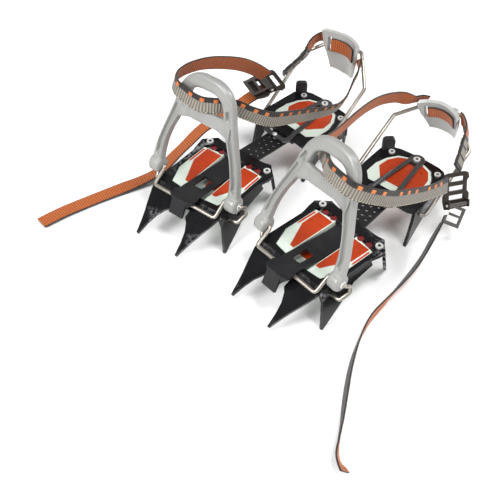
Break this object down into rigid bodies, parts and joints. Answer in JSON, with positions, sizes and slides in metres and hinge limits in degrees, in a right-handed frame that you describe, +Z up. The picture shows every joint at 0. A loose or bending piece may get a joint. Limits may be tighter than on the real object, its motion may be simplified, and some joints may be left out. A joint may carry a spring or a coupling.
{
  "type": "pair of strap-on crampons",
  "caption": "Pair of strap-on crampons: pressed steel front and heel sections on a linking bar, wire bails, toe harness, heel cup, and an ankle strap with a buckle and a free tail.",
  "frame": {"origin": "centre of the box of the pair without its free strap tails, at the level of the point tips", "axes": "+X to the wearer's left across the pair, +Y from the toes to the heels, +Z up; the left crampon's length lies along Y"},
  "size_m": [0.3857, 0.3553, 0.1547],
  "materials": {
    "steel_black": "gloss",
    "plate_white": "satin",
    "panel_orange": "gloss",
    "rivet_steel": "satin",
    "clip_red": "gloss",
    "wire_steel": "satin",
    "harness_grey": "satin",
    "bar_charcoal": "matte",
    "ear_rubber": "matte",
    "lever_grey": "satin",
    "webbing_orange": "ribbed weave",
    "webbing_grey": "ribbed weave",
    "buckle_metal": "satin"
  },
  "bodies": {
    "left_front": {"left_front_frame": "steel_black", "left_front_plate": "plate_white", "left_front_panels": "panel_orange", "left_front_rivets": "rivet_steel", "left_front_clips": "clip_red", "left_toe_wire": "wire_steel", "left_linking_bar": "bar_charcoal", "left_strap_inner": "webbing_orange", "left_strap_outer": "webbing_orange"},
    "left_heel": {"left_heel_frame": "steel_black", "left_heel_plate": "plate_white", "left_heel_panels": "panel_orange", "left_heel_rivets": "rivet_steel", "left_heel_ear": "ear_rubber", "left_bar_guide": "steel_black", "left_lever_root": "lever_grey", "left_lever_rivet": "rivet_steel", "left_strap_tail": "webbing_orange"},
    "left_lever": {"left_lock_lever": "lever_grey", "left_lock_pin": "rivet_steel"},
    "left_harness": {"left_toe_harness": "harness_grey"},
    "left_wire": {"left_heel_wire": "wire_steel"},
    "left_cup": {"left_heel_cup": "harness_grey", "left_cup_strap": "webbing_orange"},
    "left_buckle": {"left_buckle_frame": "buckle_metal", "left_buckle_pin": "rivet_steel", "left_sewn_loop": "webbing_grey"},
    "left_cam": {"left_buckle_cam": "buckle_metal"},
    "right_front": {"right_front_frame": "steel_black", "right_front_plate": "plate_white", "right_front_panels": "panel_orange", "right_front_rivets": "rivet_steel", "right_front_clips": "clip_red", "right_toe_wire": "wire_steel", "right_linking_bar": "bar_charcoal", "right_strap_inner": "webbing_orange", "right_strap_outer": "webbing_orange"},
    "right_heel": {"right_heel_frame": "steel_black", "right_heel_plate": "plate_white", "right_heel_panels": "panel_orange", "right_heel_rivets": "rivet_steel", "right_heel_ear": "ear_rubber", "right_bar_guide": "steel_black", "right_lever_root": "lever_grey", "right_lever_rivet": "rivet_steel", "right_strap_tail": "webbing_orange"},
    "right_lever": {"right_lock_lever": "lever_grey", "right_lock_pin": "rivet_steel"},
    "right_harness": {"right_toe_harness": "harness_grey"},
    "right_wire": {"right_heel_wire": "wire_steel"},
    "right_cup": {"right_heel_cup": "harness_grey", "right_cup_strap": "webbing_orange"},
    "right_buckle": {"right_buckle_frame": "buckle_metal", "right_buckle_pin": "rivet_steel", "right_sewn_loop": "webbing_grey"},
    "right_cam": {"right_buckle_cam": "buckle_metal"}
  },
  "joints": [
    {"name": "left_heel_slide", "type": "slide", "parent": "left_front", "child": "left_heel", "axis": [-0.1478, 0.989, 0], "range_m": [-0.025, 0.035]},
    {"name": "left_lever_lift", "type": "hinge", "parent": "left_heel", "child": "left_lever", "pos_m": [0.04974, 0.09055, 0.042], "axis": [-0.989, -0.1478, 0], "range_deg": [0, 20]},
    {"name": "left_harness_tilt", "type": "hinge", "parent": "left_front", "child": "left_harness", "pos_m": [0.0672, -0.0769, 0.051], "axis": [-1, 0, 0], "range_deg": [-35, 40], "deforming": ["left_strap_outer", "left_strap_inner"]},
    {"name": "left_heel_wire_swing", "type": "hinge", "parent": "left_heel", "child": "left_wire", "pos_m": [0.05595, 0.04901, 0.029], "axis": [0.989, 0.1478, 0], "range_deg": [-25, 45], "deforming": ["left_strap_inner", "left_strap_outer"]},
    {"name": "left_heel_cup_tilt", "type": "hinge", "parent": "left_wire", "child": "left_cup", "pos_m": [0.04199, 0.14242, 0.07712], "axis": [0.989, 0.1478, 0], "range_deg": [-20, 6], "deforming": ["left_strap_inner"]},
    {"name": "left_buckle_swing", "type": "hinge", "parent": "left_cup", "child": "left_buckle", "pos_m": [0.0642, 0.1381, 0.075], "axis": [0, 0, 1], "range_deg": [-5, 10], "deforming": ["left_strap_tail", "left_strap_outer", "left_sewn_loop"]},
    {"name": "left_cam_tilt", "type": "hinge", "parent": "left_buckle", "child": "left_cam", "pos_m": [0.11215, 0.083, 0.03856], "axis": [-0.3052, -0.9393, 0.1564], "range_deg": [0, 50]},
    {"name": "right_heel_slide", "type": "slide", "parent": "right_front", "child": "right_heel", "axis": [-0.0349, 0.9994, 0], "range_m": [-0.025, 0.035]},
    {"name": "right_lever_lift", "type": "hinge", "parent": "right_heel", "child": "right_lever", "pos_m": [-0.07175, 0.085, 0.042], "axis": [-0.9994, -0.0349, 0], "range_deg": [0, 20]},
    {"name": "right_harness_tilt", "type": "hinge", "parent": "right_front", "child": "right_harness", "pos_m": [-0.05814, -0.09043, 0.051], "axis": [-0.9833, -0.1822, 0], "range_deg": [-35, 40], "deforming": ["right_strap_outer", "right_strap_inner"]},
    {"name": "right_heel_wire_swing", "type": "hinge", "parent": "right_heel", "child": "right_wire", "pos_m": [-0.07028, 0.04302, 0.029], "axis": [0.9994, 0.0349, 0], "range_deg": [-40, 35], "deforming": ["right_strap_inner", "right_strap_outer"]},
    {"name": "right_heel_cup_tilt", "type": "hinge", "parent": "right_wire", "child": "right_cup", "pos_m": [-0.07308, 0.12297, 0.09854], "axis": [0.9994, 0.0349, 0], "range_deg": [-20, 14], "deforming": ["right_strap_inner"]},
    {"name": "right_buckle_swing", "type": "hinge", "parent": "right_cup", "child": "right_buckle", "pos_m": [-0.09408, 0.11445, 0.098], "axis": [0, 0, -1], "range_deg": [-8, 12], "deforming": ["right_strap_tail", "right_strap_outer", "right_sewn_loop"]},
    {"name": "right_cam_tilt", "type": "hinge", "parent": "right_buckle", "child": "right_cam", "pos_m": [-0.10652, 0.04138, 0.07477], "axis": [-0.965, 0.1963, 0.1736], "range_deg": [0, 50]},
    {"name": "pair_lift", "type": "slide", "parent": "left_front", "child": "right_front", "axis": [0, 0, 1], "range_m": [0, 0.15]}
  ]
}
